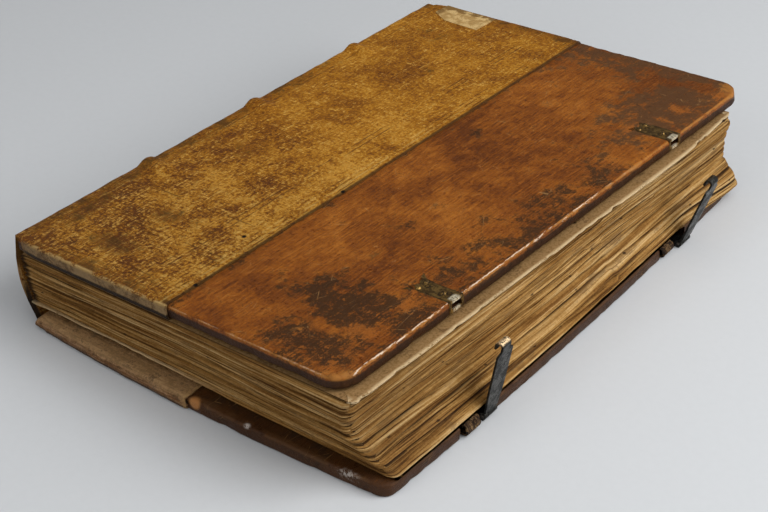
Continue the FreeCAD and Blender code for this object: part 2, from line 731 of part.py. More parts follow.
def clasp_anchor(end):
    """Plate let into the underside of the lower board, rolled at its end into two knuckles round the pin."""
    body = new_body(f"{end}_clasp_anchor")
    half, tongue = f"{of('arm_width')} / 2", f"{of('knuckle_width')} / 2 + {of('knuckle_gap')}"
    slot = f"-{of('knuckle_radius')} - 2 * {of('knuckle_gap')}"
    plate = new_sketch(body, f"{end}_anchor_plate", height=f"-{of('pin_height')}")
    inner = f"-{of('anchor_length')}"
    add_outline(plate, [(inner, f"-{half}"), ("0.5", f"-{half}"), ("0.5", f"-({tongue})"),
                        (slot, f"-({tongue})"), (slot, tongue), ("0.5", tongue), ("0.5", half), (inner, half)])
    for share in (0.45, 0.85):
        add_circle(plate, f"-{share} * {of('anchor_length')}", "0", of("anchor_rivet_radius"))
    pad(body, plate, of("catch_thickness"))
    for number, start in enumerate((tongue, f"-{half}"), start=1):
        knuckle = body.newObject("PartDesign::AdditiveCylinder", f"{end}_anchor_knuckle_{number}")
        lay_along_pin(body, knuckle, start)
        knuckle.setExpression("Radius", of("knuckle_radius"))
        knuckle.setExpression("Height", f"{half} - ({tongue})")
        doc.recompute()
    bore = new_sketch(body, f"{end}_anchor_bore", "XZ_Plane")
    add_circle(bore, "0", "0", of("pin_radius"))
    pocket(body, bore, "40", midplane=True)
    return body


def clasp_pin(end):
    pin = doc.addObject("Part::Cylinder", f"{end}_clasp_pin")
    pin.setExpression("Radius", of("pin_radius"))
    pin.setExpression("Height", f"{of('arm_width')} + 2 * {of('pin_end')}")
    start = Vector(0, value(f"{of('arm_width')} / 2 + {of('pin_end')}"), 0)
    return pin, Placement(start, Rotation(Vector(1, 0, 0), 90))


def anchor_rivets():
    rivets = []
    for end in ("tail", "head"):
        for number, x in enumerate(anchor_rivet_places(end), start=1):
            rivets.append(upright_cylinder(f"{end}_anchor_rivet_{number}", of("anchor_rivet_radius"),
                                           of("anchor_rivet_length"), x, of(f"clasp_{end}"), "0"))
    return group("clasp_anchor_rivets", rivets)


def paper_label():
    """A bare slip of paper pasted near the head, with one corner torn away."""
    body = new_body("paper_label")
    sketch = new_sketch(body, "label_outline")
    length, width, torn = of("label_length"), of("label_width"), of("label_torn_corner")
    add_outline(sketch, [(f"2 * {torn}", "0"), (length, "0"), (length, width), ("0", width), ("0", torn)])
    pad(body, sketch, of("label_thickness"))
    skin_top = size("leather_thickness") - size("upper_rabbet")
    corner = Vector(size("label_x"), size("board_height") - size("label_y"), skin_top)
    return body, Placement(corner, Rotation(size("label_turn"), 0, 0))


def build():
    flat = Placement()
    keep(lower_board(), "lower_board", flat)
    keep(lower_cover_leather(), "lower_cover_leather", flat)
    keep(slips("lower_slips", lower_places, of("leather_thickness")), "lower_slips", flat)
    peg_floor = f"{of('leather_thickness')} + {of('slip_depth')}"
    peg_length = f"{of('board_thickness')} - ({peg_floor})"
    keep(pegs("lower_pegs", lower_places, peg_floor, peg_length), "lower_pegs", flat)
    keep(text_block(), "text_block", flat)
    keep(spine_leather(), "spine_leather", flat)
    for end in bands:
        cord, place = sewing_support(end)
        keep(cord, f"{end}_sewing_support", place)
    keep(upper_board(), "upper_board", cover)
    keep(upper_cover_leather(), "upper_cover_leather", cover)
    slip_floor = f"-{of('upper_rabbet')} - {of('slip_depth')}"
    keep(slips("upper_slips", upper_places, slip_floor), "upper_slips", cover)
    peg_length = f"{of('board_thickness')} + {slip_floor}"
    keep(pegs("upper_pegs", upper_places, f"-{of('board_thickness')}", peg_length), "upper_pegs", cover)
    label, place = paper_label()
    keep(label, "paper_label", cover * place)
    for end in ("tail", "head"):
        keep(catch_plate(end), f"{end}_catch_plate", cover)
        keep(catch_rivets(end), f"{end}_catch_rivets", cover)
        pin_place = Vector(value(pin_line(end)), size(f"clasp_{end}"), size("pin_height"))
        at_pin = Placement(pin_place, Rotation())
        lean = Placement(Vector(), Rotation(Vector(0, 1, 0), size(f"lean_{end}")))
        keep(clasp_arm(end), f"{end}_clasp_arm", at_pin * lean)
        keep(clasp_anchor(end), f"{end}_clasp_anchor", at_pin)
        pin, along = clasp_pin(end)
        keep(pin, f"{end}_clasp_pin", at_pin * along)
    keep(anchor_rivets(), "clasp_anchor_rivets", flat)


def check():
    for item in doc.Objects:
        if "Invalid" in item.State or "Error" in item.State:
            raise RuntimeError(f"{item.Name} failed: {item.State}")
    for part in parts:
        if part.Shape.isNull() or not part.Shape.isValid():
            raise RuntimeError(f"{part.Label} has no valid shape")


def export():
    os.makedirs("parts", exist_ok=True)
    for part in parts:
        part.Shape.exportStep(f"parts/{part.Label}.step")
        box = part.Shape.BoundBox
        print(part.Label, len(part.Shape.Solids), f"{box.XLength:.1f} x {box.YLength:.1f} x {box.ZLength:.1f}")


build()
doc.recompute()
check()
export()
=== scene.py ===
import math

import bmesh
import bpy
from mathutils import Euler, Matrix, Vector, noise


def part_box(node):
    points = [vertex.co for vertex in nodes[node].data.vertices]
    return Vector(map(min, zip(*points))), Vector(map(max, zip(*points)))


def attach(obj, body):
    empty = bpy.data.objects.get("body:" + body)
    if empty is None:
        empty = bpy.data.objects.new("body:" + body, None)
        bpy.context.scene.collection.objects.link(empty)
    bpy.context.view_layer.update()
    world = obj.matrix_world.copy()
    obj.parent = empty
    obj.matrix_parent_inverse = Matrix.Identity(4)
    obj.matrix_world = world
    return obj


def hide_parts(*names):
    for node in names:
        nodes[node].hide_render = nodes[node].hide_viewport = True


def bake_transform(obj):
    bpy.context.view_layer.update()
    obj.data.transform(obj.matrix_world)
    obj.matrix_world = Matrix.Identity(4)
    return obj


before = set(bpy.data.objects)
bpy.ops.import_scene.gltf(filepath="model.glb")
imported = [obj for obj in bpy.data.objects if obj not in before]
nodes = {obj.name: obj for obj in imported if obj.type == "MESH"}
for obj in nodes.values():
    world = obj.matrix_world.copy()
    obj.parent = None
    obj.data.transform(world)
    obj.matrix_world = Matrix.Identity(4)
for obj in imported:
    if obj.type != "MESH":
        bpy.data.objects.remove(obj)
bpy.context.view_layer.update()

# Shapes are drawn in millimetres, on the bench or on the tilted upper cover, and then put in place.
bench = Matrix.Scale(0.001, 4) @ Matrix.Translation((-104, -160, 0))
coverLay = {"shift": (-17.4, 5.4, 44.3), "roll": 0.7, "rise": -4.29, "skew": -3.35}
coverTurn = Euler([math.radians(coverLay[key]) for key in ("roll", "rise", "skew")])
onBench = Matrix.Translation(coverLay["shift"]) @ coverTurn.to_matrix().to_4x4()
cover = bench @ onBench


def smooth(low, high, value):
    share = min(max((value - low) / (high - low), 0), 1)
    return share * share * (3 - 2 * share)


def mix(a, b, share):
    return a + (b - a) * share


def rough(place, size, seed=0):
    return noise.noise(Vector(place) / size + Vector((seed * 7.3, seed * 3.1, seed * 1.7)))


class Wire:
    # a shader socket that can be used in sums
    def __init__(self, finish, socket):
        self.finish = finish
        self.socket = socket

    def maths(self, operation, *others):
        return self.finish.node("ShaderNodeMath", {"operation": operation}, dict(enumerate(others)))

    def __add__(self, other):
        return self.maths("ADD", self, other)

    def __sub__(self, other):
        return self.maths("SUBTRACT", self, other)

    def __mul__(self, other):
        return self.maths("MULTIPLY", self, other)

    def __rsub__(self, other):
        return self.maths("SUBTRACT", other, self)

    __radd__ = __add__
    __rmul__ = __mul__

    def most(self, other):
        return self.maths("MAXIMUM", self, other)

    def least(self, other):
        return self.maths("MINIMUM", self, other)

    def step(self, low, high):
        # 0 below low, 1 above high, and the other way round when low is the larger
        return self.finish.node("ShaderNodeMapRange", {"interpolation_type": "SMOOTHSTEP"},
                                {"Value": self, "From Min": low, "From Max": high})


class Finish:
    def __init__(self, name):
        self.material = bpy.data.materials.new(name)
        self.material.use_nodes = True
        self.tree = self.material.node_tree
        self.tree.nodes.clear()
        self.shader = self.tree.nodes.new("ShaderNodeBsdfPrincipled")
        out = self.tree.nodes.new("ShaderNodeOutputMaterial")
        self.tree.links.new(self.shader.outputs[0], out.inputs[0])
        self.place = self.node("ShaderNodeTexCoord", output="Object")

    def node(self, kind, settings=None, sockets=None, output=0):
        made = self.tree.nodes.new(kind)
        for key, setting in (settings or {}).items():
            if key == "stops":
                ramp = made.color_ramp
                while len(ramp.elements) < len(setting):
                    ramp.elements.new(0.5)
                for element, (at, colour) in zip(ramp.elements, setting):
                    element.position = at
                    element.color = (*colour, 1)
            else:
                setattr(made, key, setting)
        for key, value in (sockets or {}).items():
            self.feed(made.inputs[key], value)
        return Wire(self, made.outputs[output])

    def feed(self, socket, value):
        if isinstance(value, Wire):
            self.tree.links.new(value.socket, socket)
        elif isinstance(value, tuple) and len(socket.default_value) == 4:
            socket.default_value = (*value, 1)
        else:
            socket.default_value = value

    def give(self, **sockets):
        for key, value in sockets.items():
            self.feed(self.shader.inputs[key.replace("_", " ")], value)

    def onCover(self):
        # millimetres on the upper cover: x from the spine, y from the tail
        start = bench @ Vector(coverLay["shift"])
        return self.node("ShaderNodeMapping", {"vector_type": "TEXTURE"},
                         {"Vector": self.place, "Location": tuple(start), "Rotation": tuple(coverTurn),
                          "Scale": (0.001, 0.001, 0.001)})

    def onBench(self):
        start = bench @ Vector((0, 0, 0))
        return self.node("ShaderNodeMapping", {"vector_type": "TEXTURE"},
                         {"Vector": self.place, "Location": tuple(start), "Scale": (0.001, 0.001, 0.001)})

    def stretch(self, place, sizes):
        return self.node("ShaderNodeVectorMath", {"operation": "DIVIDE"}, {0: place, 1: sizes})

    def cloud(self, place, size=1, detail=3, roughness=0.55, twist=0):
        # noise spread over most of 0 to 1
        grey = self.node("ShaderNodeTexNoise", {}, {"Vector": place, "Scale": 1 / size, "Detail": detail,
                                                    "Roughness": roughness, "Distortion": twist})
        return (grey - 0.5) * 3.5 + 0.5

    def cells(self, place, size, feature="F1", spread=1, output="Distance"):
        return self.node("ShaderNodeTexVoronoi", {"feature": feature},
                         {"Vector": place, "Scale": 1 / size, "Randomness": spread}, output)

    def axis(self, place, name):
        return self.node("ShaderNodeSeparateXYZ", {}, {0: place}, name)

    def patch(self, place, centre, sizes, reach, fade):
        # a soft oval spot, longer along the axis that has the larger size
        middle = (centre[0] / sizes[0], centre[1] / sizes[1], 0)
        return self.near(self.stretch(place, (*sizes, 1)), middle, reach, fade)

    def near(self, place, centre, reach, fade):
        # 1 inside a patch, 0 outside it
        away = self.node("ShaderNodeVectorMath", {"operation": "DISTANCE"}, {0: place, 1: centre}, "Value")
        return away.step(reach + fade, max(reach - fade, 0))

    def ring(self, place, centre, radius, width):
        away = self.node("ShaderNodeVectorMath", {"operation": "DISTANCE"}, {0: place, 1: centre}, "Value")
        return self.node("ShaderNodeMath", {"operation": "ABSOLUTE"}, {0: away - radius}).step(width, width * 0.4)

    def line(self, axis, at, width):
        return self.node("ShaderNodeMath", {"operation": "ABSOLUTE"}, {0: axis - at}).step(width, width * 0.3)

    def ramp(self, value, *stops):
        return self.node("ShaderNodeValToRGB", {"stops": stops}, {0: value})

    def colours(self, share, below, above):
        return self.node("ShaderNodeMix", {"data_type": "RGBA"}, {0: share, 6: below, 7: above}, 2)

    def relief(self, height, depth):
        return self.node("ShaderNodeBump", {}, {"Height": height, "Strength": 1.0, "Distance": depth})


board = {"width": 208, "height": 320, "thickness": 7, "arris": 1.5, "corner": {"upper": 12, "lower": 6},
         "leather": {"upper": 104, "lower": 98}, "tailBow": 4, "foreBow": 3.5,
         "catches": (76.7, 253.3), "clasps": (73.6, 250)}


def boardWood(name, place):
    f = Finish(name)
    at = f.onCover() if place == "cover" else f.onBench()
    x, y, z = (f.axis(at, letter) for letter in "XYZ")
    streak = f.cloud(f.stretch(at, (0.9, 17, 0.9)), 1, 4, 0.65, 0.3)
    thin = f.cloud(f.stretch(at, (0.35, 6, 0.35)), 1, 3, 0.6)
    mottle = f.cloud(at, 13, 6, 0.72, 0.3)
    patchy = f.cloud(at, 5.5, 8, 0.82, 0.2)
    fine = f.cloud(at, 1.9, 5, 0.75)
    broad = f.cloud(at, 55, 3, 0.6, 0.5)
    base = f.ramp(streak * 0.2 + thin * 0.15 + mottle * 0.2 + fine * 0.25 + broad * 0.2,
                  (0.30, (0.110, 0.028, 0.003)), (0.44, (0.215, 0.058, 0.005)), (0.56, (0.295, 0.088, 0.008)),
                  (0.72, (0.44, 0.150, 0.018)))
    ragged = mottle * 0.5 + patchy * 0.3 + fine * 0.2
    if place == "cover":
        reach = (y.step(262, 324) * 0.8).most(x.step(112, 103) * 0.45)
        reach = reach.most(x.step(158, 204) * y.step(225, 205) * 0.62)
        for centre, sizes, inner, fade, amount in (
                ((172, 46), (1.6, 1), 10, 26, 1.0), ((182, 12), (2.0, 1), 8, 18, 1.0),
                ((196, 84), (1, 2.4), 4, 17, 0.75), ((188, 275), (1, 1.7), 16, 34, 0.95),
                ((150, 112), (1, 1), 1, 12, 0.6), ((120, 203), (1, 1), 1, 8, 0.7)):
            reach = reach.most(f.patch(at, centre, sizes, inner, fade) * amount)
        stains = (reach + (ragged - 0.5) * 1.8).step(0.36, 0.74)
        stain = f.colours(y.step(190, 250), (0.040, 0.017, 0.005), (0.095, 0.042, 0.015))
        base = f.colours(stains * 0.92, base, stain)
        boost = x.step(150, 192) * y.step(235, 190) * 0.07 + y.step(34, 6) * x.step(130, 170) * 0.09
        for centre, sizes, inner, fade in (
                ((194, 280), (1.7, 1), 4, 4), ((195, 266), (1.9, 1), 2, 3), ((184, 250), (1, 2.4), 2, 4),
                ((205, 306), (1, 2), 3, 7), ((194, 62), (1, 1.6), 1, 8), ((190, 34), (1.6, 1), 1, 9)):
            boost = boost.most(f.patch(at, centre, sizes, inner, fade) * 0.36)
        scuffs = (patchy * 0.5 + fine * 0.3 + streak * 0.2 + boost).step(0.68, 0.78)
    else:
        stains = ragged.step(0.45, 0.75)
        # painted shade: the lower board's wood is this wood darkened all over, as it lies in shade under the book
        base = f.colours(0.88, base, (0.030, 0.014, 0.006))
        base = f.colours(stains * 0.8, base, (0.030, 0.015, 0.007))
        scuffs = (patchy * 0.5 + fine * 0.3 + streak * 0.2).step(0.74, 0.86) * 0.4
    base = f.colours(scuffs * 0.7, base, (0.40, 0.120, 0.014))
    cracks = f.cells(f.stretch(at, (7, 26, 7)), 1, "DISTANCE_TO_EDGE").step(0.012, 0.0) * mottle.step(0.6, 0.85)
    base = f.colours(cracks * 0.6, base, (0.50, 0.26, 0.09))
    pits = fine.step(0.72, 0.9)
    base = f.colours(pits * 0.55, base, (0.03, 0.010, 0.003))
    if place == "cover":
        # painted highlight: a glossy sheen along the fore and tail arrises, mixed with real wear at the worn corners
        arris = (x.step(206.4, 207.3) + y.step(1.1, 0.4)).least(1) * z.step(-1.9, -0.6)
        corner = f.near(at, (205, 3, 0), 2, 13).most(f.near(at, (205, 314, 0), 1, 12))
        wearAndSheen = (arris * 0.55 + corner * 0.6 + ragged - 0.75).step(0.0, 0.35)
        base = f.colours(wearAndSheen * 0.8, base, (0.40, 0.160, 0.030))
        # painted highlight: a thin bright line of sparse glints along the arris, together with real pale chips
        chipAndGlintNoise = f.cloud(f.stretch(at, (1, 6, 1)), 1, 5, 0.75, 0.4) + y.step(190, 120) * 0.12
        thinLine = f.line(x, 207.2 + (mottle - 0.5) * 0.8, 0.36).most(y.step(0.8, 0.2) * z.step(-0.9, -0.3))
        chipsAndGlints = chipAndGlintNoise.step(0.50, 0.66) * thinLine * z.step(-1.9, -0.9) * y.step(225, 170)
        base = f.colours(chipsAndGlints * 0.9, base, (0.78, 0.62, 0.47))
        # painted shade: the board's side faces below the arris are darkened
        base = f.colours(z.step(-1.6, -3.0) * 0.93, base, (0.026, 0.010, 0.004))
    else:
        # painted highlight: a thin lighter line along the lower board's top arris, mixed with wear
        arris = z.step(5.0, 6.4) * (x.step(205.5, 208) + y.step(2, -1)).least(1)
        wearAndSheen = (arris * 0.5 + ragged - 0.75).step(0.0, 0.35)
        base = f.colours(wearAndSheen * 0.5, base, (0.12, 0.055, 0.020))
        base = f.colours(f.near(at, (101.2, -3.4, 5.4), 3.0, 1.0) * 0.85, base, (0.46, 0.20, 0.06))
        bleached = f.near(f.stretch(at, (1.6, 1, 1)), (117.6, -3.4, 6.4), 2.2, 3.2) * fine.step(0.40, 0.60)
        bleached = bleached.most(f.near(at, (132, -2.8, 7), 0.6, 1.8) * fine.step(0.35, 0.5))
        base = f.colours(bleached * 0.9, base, (0.62, 0.56, 0.50))
    gloss = mottle * 0.14 + fine * 0.12 + 0.24 + stains * 0.06
    height = streak * 0.3 + thin * 0.15 + fine * 0.5 + mottle * 0.7 - pits * 0.3 - cracks * 0.4 - scuffs * 0.15
    f.give(Base_Color=base, Roughness=gloss, Normal=f.relief(height, 0.00032), Specular_IOR_Level=0.15)
    return f.material


def coverLeather(name):
    f = Finish(name)
    at = f.onCover()
    x, y, z = (f.axis(at, letter) for letter in "XYZ")
    large = f.cloud(at, 30, 4, 0.6, 0.3)
    middle = f.cloud(at, 9, 6, 0.74, 0.3)
    fine = f.cloud(at, 1.7, 5, 0.78)
    length = f.cloud(f.stretch(at, (0.9, 9, 0.9)), 1, 4, 0.65, 0.6)
    cross = f.cloud(f.stretch(at, (9, 0.9, 0.9)), 1, 4, 0.65, 0.6)
    pores = f.cells(at, 1.2)
    shift = x.step(62, 98) * y.step(230, 180) * 0.05
    for centre, sizes, inner, fade, amount in (
            ((50, 212), (1.7, 1), 2, 14, 0.10), ((70, 175), (1, 1.6), 4, 22, 0.06),
            ((88, 100), (1, 2.6), 8, 20, 0.10), ((36, 245), (1, 1.2), 4, 24, -0.08),
            ((30, 130), (1.5, 1.6), 4, 22, -0.07), ((8, 60), (1, 4), 2, 10, -0.08)):
        shift = shift + f.patch(at, centre, sizes, inner, fade) * amount
    gain = y.step(200, 20) * 0.9 + 0.75
    grain = large * 0.20 + middle * 0.20 + fine * 0.36 + length * 0.14 + cross * 0.10
    base = f.ramp((grain - 0.5) * gain + 0.5 + shift,
                  (0.26, (0.120, 0.034, 0.003)), (0.41, (0.250, 0.086, 0.005)), (0.54, (0.400, 0.160, 0.009)),
                  (0.71, (0.600, 0.290, 0.038)))
    rub = (length * 0.35 + cross * 0.2 + fine * 0.35 + middle * 0.1 + y.step(190, 20) * 0.10).step(0.66, 0.80)
    base = f.colours(rub * 0.8, base, (0.72, 0.41, 0.095))
    ragged = middle * 0.45 + fine * 0.3 + large * 0.25
    reach = (y.step(16, 0) * 0.62).most(y.step(300, 321) * 0.7).most(x.step(14, 0) * y.step(240, 200) * 0.6)
    for centre, sizes, inner, fade, amount in (
            ((44, 24), (1.7, 1), 3, 14, 0.85), ((46, 56), (2.6, 1), 2, 10, 0.62), ((8, 40), (1, 3), 2, 12, 0.7),
            ((52, 246), (1, 1), 1, 12, 0.5), ((30, 284), (1.8, 1), 3, 14, 0.5), ((32, 125), (1, 1), 2, 16, 0.5),
            ((84, 8), (1.4, 1), 2, 10, 0.5), ((60, 222), (1, 1), 1, 10, 0.45)):
        middlePoint = (centre[0] / sizes[0], centre[1] / sizes[1], 0)
        reach = reach.most(f.near(f.stretch(at, (*sizes, 1)), middlePoint, inner, fade) * amount)
    dirt = (reach + (ragged - 0.5) * 1.5).step(0.40, 0.85)
    base = f.colours(dirt * 0.86, base, (0.070, 0.024, 0.003))
    ruled = None
    for axis, places in ((x, (5.5, 76.5, 80.0, 95.2, 98.0, 101.2)), (y, (5.0, 9.0, 13.0, 39.0, 42.5, 46.0, 71.5))):
        for place in places:
            groove = f.line(axis, place, 0.6)
            ruled = groove if ruled is None else ruled.most(groove)
    ruled = ruled * f.cloud(at, 22, 4, 0.7).step(0.35, 0.75) * x.step(104, 102) * z.step(-1.5, -0.5)
    base = f.colours(ruled * 0.6, base, (0.10, 0.034, 0.004))
    pale = f.line(x, 99.6, 1.0).most(f.line(x, 96.6, 0.7) * 0.7) * y.step(250, 190)
    base = f.colours(pale * ragged.step(0.4, 0.6) * 0.7, base, (0.62, 0.37, 0.10))
    base = f.colours(x.step(101.8, 103.4) * 0.88, base, (0.040, 0.014, 0.003))
    holes = None
    for hole in ((103.0, 19, 0), (103.2, 120, 0), (92, 62, 0)):
        pit = f.near(at, hole, 1.1, 0.4)
        holes = pit if holes is None else holes.most(pit)
    base = f.colours(holes, base, (0.005, 0.002, 0.001))
    turned = y.step(0.8, -0.5) * z.step(-0.5, -1.2) * x.step(-2, 1)
    base = f.colours(turned * 0.9, base, f.colours(ragged.step(0.38, 0.62), (0.13, 0.072, 0.026), (0.33, 0.21, 0.095)))
    # painted shade on the lower part of the turned-in leather edge
    base = f.colours(turned * z.step(-4.4, -5.4) * 0.95, base, (0.016, 0.007, 0.003))
    arris = y.step(0.9, -0.5) * z.step(-1.4, -0.3) * x.step(-2, 1)
    base = f.colours(arris * ragged.step(0.38, 0.6) * 0.9, base, (0.62, 0.40, 0.15))
    rim = y.step(0.3, -0.5) * x.step(0.5, -1.5)
    base = f.colours(rim * ragged.step(0.3, 0.5) * 0.8, base, (0.42, 0.25, 0.095))
    gloss = middle * 0.14 + fine * 0.10 + 0.36 + dirt * 0.06
    height = fine * 0.6 + middle * 0.6 + length * 0.2 + cross * 0.2 - pores * 0.15 - ruled * 0.9 - holes * 3 + rub * 0.2
    f.give(Base_Color=base, Roughness=gloss, Normal=f.relief(height * gain, 0.0004), Specular_IOR_Level=0.15)
    return f.material


def grimyShadedLeather(name):
    # the worn leather round the lower board, with painted shade towards the floor and a painted highlight along its top
    f = Finish(name)
    at = f.onBench()
    x, y, z = (f.axis(at, letter) for letter in "XYZ")
    middle = f.cloud(at, 9, 6, 0.74, 0.3)
    fine = f.cloud(at, 1.5, 5, 0.78)
    length = f.cloud(f.stretch(at, (12, 1.5, 1.0)), 1, 4, 0.65, 0.4)
    base = f.ramp(middle * 0.36 + fine * 0.36 + length * 0.28,
                  (0.28, (0.09, 0.042, 0.014)), (0.45, (0.20, 0.100, 0.038)),
                  (0.58, (0.29, 0.158, 0.068)), (0.74, (0.42, 0.26, 0.125)))
    seam = f.line(z + (middle - 0.5) * 1.2, 3.4, 0.7) * y.step(4, 1)
    base = f.colours(seam * 0.75, base, (0.16, 0.055, 0.010))
    # painted highlight along the top of the tail-side leather band
    base = f.colours(z.step(5.4, 7.0) * y.step(6, 2) * 0.35, base, (0.48, 0.30, 0.13))
    # painted shade: darker towards the floor
    base = f.colours(z.step(3.4, 1.4) * 0.88, base, (0.040, 0.019, 0.008))
    base = f.colours((middle * 0.6 + fine * 0.4).step(0.60, 0.78) * 0.7, base, (0.05, 0.022, 0.009))
    torn = x.step(92, 97) * (fine * 0.6 + middle * 0.4).step(0.35, 0.6)
    base = f.colours(torn * 0.7, base, (0.40, 0.24, 0.09))
    base = f.colours(f.near(at, (97.4, -3.9, 5.0), 1.4, 0.5), base, (0.010, 0.005, 0.003))
    f.give(Base_Color=base, Roughness=fine * 0.15 + 0.5, Specular_IOR_Level=0.2,
           Normal=f.relief(fine * 0.6 + middle * 0.7 + length * 0.3, 0.00035))
    return f.material


def pageEdges(name):
    f = Finish(name)
    at = f.node("ShaderNodeAttribute", {"attribute_name": "leaf"}, {}, "Vector")
    bed = f.onBench()
    x, y = (f.axis(bed, letter) for letter in "XY")
    sunk = f.node("ShaderNodeAttribute", {"attribute_name": "sunk"}, {}, "Fac")
    bright = f.node("ShaderNodeAttribute", {"attribute_name": "bright"}, {}, "Fac")
    streak = f.cloud(f.stretch(at, (120, 120, 0.5)), 1, 3, 0.6)
    thread = f.cloud(f.stretch(at, (60, 60, 0.14)), 1, 3, 0.65)
    patch = f.cloud(f.stretch(at, (26, 26, 2.4)), 1, 4, 0.6)
    grit = f.cloud(bed, 1.2, 4, 0.75)
    rope = f.cloud(f.stretch(at, (200, 200, 1.5)), 1, 2, 0.5)
    base = f.ramp(rope * 0.22 + streak * 0.26 + thread * 0.28 + patch * 0.12 + grit * 0.12,
                  (0.26, (0.13, 0.052, 0.008)), (0.42, (0.27, 0.130, 0.030)), (0.56, (0.40, 0.220, 0.064)),
                  (0.76, (0.62, 0.405, 0.175)))
    base = f.colours(thread.step(0.30, 0.12) * 0.8, base, (0.05, 0.018, 0.003))
    # painted shade: sunken crevices between gatherings, the hollow under the top leaf's lip and the page ends beside
    # the spine are darkened as if in shadow
    base = f.colours(sunk.step(0.2, 0.85) * 0.95, base, (0.018, 0.007, 0.002))
    base = f.colours((patch * 0.7 + grit * 0.3).step(0.66, 0.86) * 0.55, base, (0.11, 0.048, 0.013))
    shade = y.step(75, 15) * x.step(150, 205) * 0.28
    base = f.colours(shade.most(y.step(13, 4) * 0.15), base, (0.055, 0.024, 0.007))
    up = f.axis(at, "Z")
    outerLeaf = up.step(19.93, 19.97).most(up.step(0.07, 0.03))
    leafTone = f.colours(grit.step(0.3, 0.8), (0.30, 0.175, 0.070), (0.22, 0.120, 0.040))
    foxing = f.cloud(bed, 9, 5, 0.7, 0.3)
    leafTone = f.colours((foxing * 0.6 + grit * 0.4).step(0.62, 0.80) * 0.5, leafTone, (0.10, 0.05, 0.02))
    base = f.colours(outerLeaf, base, leafTone)
    base = f.colours(bright * (grit * 0.5 + patch * 0.5).step(0.15, 0.4) * 0.9, base, (0.80, 0.60, 0.34))
    nicks = f.cells(f.stretch(at, (9, 9, 0.9)), 1).step(0.16, 0.08) * patch.step(0.5, 0.75)
    base = f.colours(nicks * 0.85, base, (0.02, 0.008, 0.003))
    height = thread * 0.7 + streak * 0.5 + grit * 0.2 - nicks
    f.give(Base_Color=base, Roughness=0.8, Normal=f.relief(height, 0.00030), Specular_IOR_Level=0.15)
    return f.material


def oldMetal(name, bright, dull, shine=0.5, hooks=False):
    f = Finish(name)
    at = f.onBench()
    patina = f.cloud(at, 5, 5, 0.7, 0.4)
    fine = f.cloud(at, 0.9, 4, 0.7)
    brush = f.cloud(f.stretch(at, (6, 0.4, 0.4)), 1, 2)
    share = (patina * 0.7 + fine * 0.3).step(0.3, 0.62)
    base = f.colours(brush.step(0.6, 0.9) * 0.3, f.colours(share, bright, dull), bright)
    if hooks:
        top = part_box("tail_clasp_arm")[1][2] * 1000
        z = f.axis(at, "Z")
        # painted highlight: a bright glint on the rolled hook at the top of each clasp arm
        wearAndGlint = z.step(top - 1.6, top - 0.3) * fine.step(0.2, 0.5)
        base = f.colours(wearAndGlint, base, (0.85, 0.62, 0.36))
    f.give(Base_Color=base, Metallic=0.8, Roughness=share * 0.2 + shine * 0.6 + fine * 0.1,
           Normal=f.relief(fine * 0.6 + patina * 0.5 + brush * 0.2, 0.00008))
    return f.material


def catchMetal(name):
    f = Finish(name)
    at = f.onCover()
    x, y = (f.axis(at, letter) for letter in "XY")
    patina = f.cloud(at, 4, 5, 0.7, 0.4)
    fine = f.cloud(at, 0.8, 4, 0.7)
    share = (patina * 0.7 + fine * 0.3).step(0.32, 0.62)
    base = f.colours(share, (0.26, 0.150, 0.036), (0.085, 0.046, 0.012))
    cuts = None
    for middle in board["catches"]:
        for along, across in ((188.8, 3.6), (191.2, 0.6), (200.2, -1.2), (203.0, 1.4)):
            circle = f.ring(at, (along, middle + across, 0.4), 1.2, 0.42)
            cuts = circle if cuts is None else cuts.most(circle)
        for across in (-4.4, 4.4):
            cuts = cuts.most(f.line(y, middle + across, 0.35) * x.step(188, 190))
        # painted highlight on the bar across each catch's slot
        barHighlight = x.step(204.6, 205.4) * f.near(f.stretch(at, (4, 1, 4)), (51.8, middle, 0), 2.6, 0.8)
        base = f.colours(barHighlight * fine.step(0.2, 0.5) * 0.9, base, (0.90, 0.80, 0.58))
    base = f.colours(cuts * 0.8, base, (0.014, 0.008, 0.003))
    f.give(Base_Color=base, Metallic=0.75, Roughness=share * 0.22 + 0.30,
           Normal=f.relief(fine * 0.6 + patina * 0.5 - cuts, 0.0001))
    return f.material


def strapLeather(name):
    f = Finish(name)
    at = f.onBench()
    fibre = f.cloud(f.stretch(at, (3.5, 0.35, 3.5)), 1, 4, 0.7, 0.6)
    blotch = f.cloud(at, 2.6, 4, 0.7)
    base = f.ramp(fibre * 0.6 + blotch * 0.4, (0.3, (0.010, 0.005, 0.003)), (0.48, (0.05, 0.024, 0.010)),
                  (0.62, (0.15, 0.078, 0.030)), (0.8, (0.34, 0.22, 0.10)))
    f.give(Base_Color=base, Roughness=0.75, Normal=f.relief(fibre + blotch * 0.5, 0.0003), Specular_IOR_Level=0.2)
    return f.material


def plainPaper(name):
    f = Finish(name)
    at = f.onCover()
    x, y = (f.axis(at, letter) for letter in "XY")
    fibre = f.cloud(f.stretch(at, (0.5, 3, 0.5)), 1, 4, 0.7)
    foxing = f.cloud(at, 7, 5, 0.7, 0.4)
    base = f.colours(foxing.step(0.3, 0.7) * 0.8, (0.66, 0.45, 0.19), (0.40, 0.23, 0.070))
    base = f.colours(fibre.step(0.55, 0.85) * 0.35, base, (0.22, 0.12, 0.035))
    wearAndGlint = x.step(16, 9).most(y.step(303, 299)).most(y.step(313, 317))
    base = f.colours((wearAndGlint * 0.5 + foxing * 0.6).step(0.5, 0.8) * 0.75, base, (0.16, 0.080, 0.018))
    f.give(Base_Color=base, Roughness=0.7, Normal=f.relief(fibre + foxing * 0.5, 0.00005), Specular_IOR_Level=0.2)
    return f.material


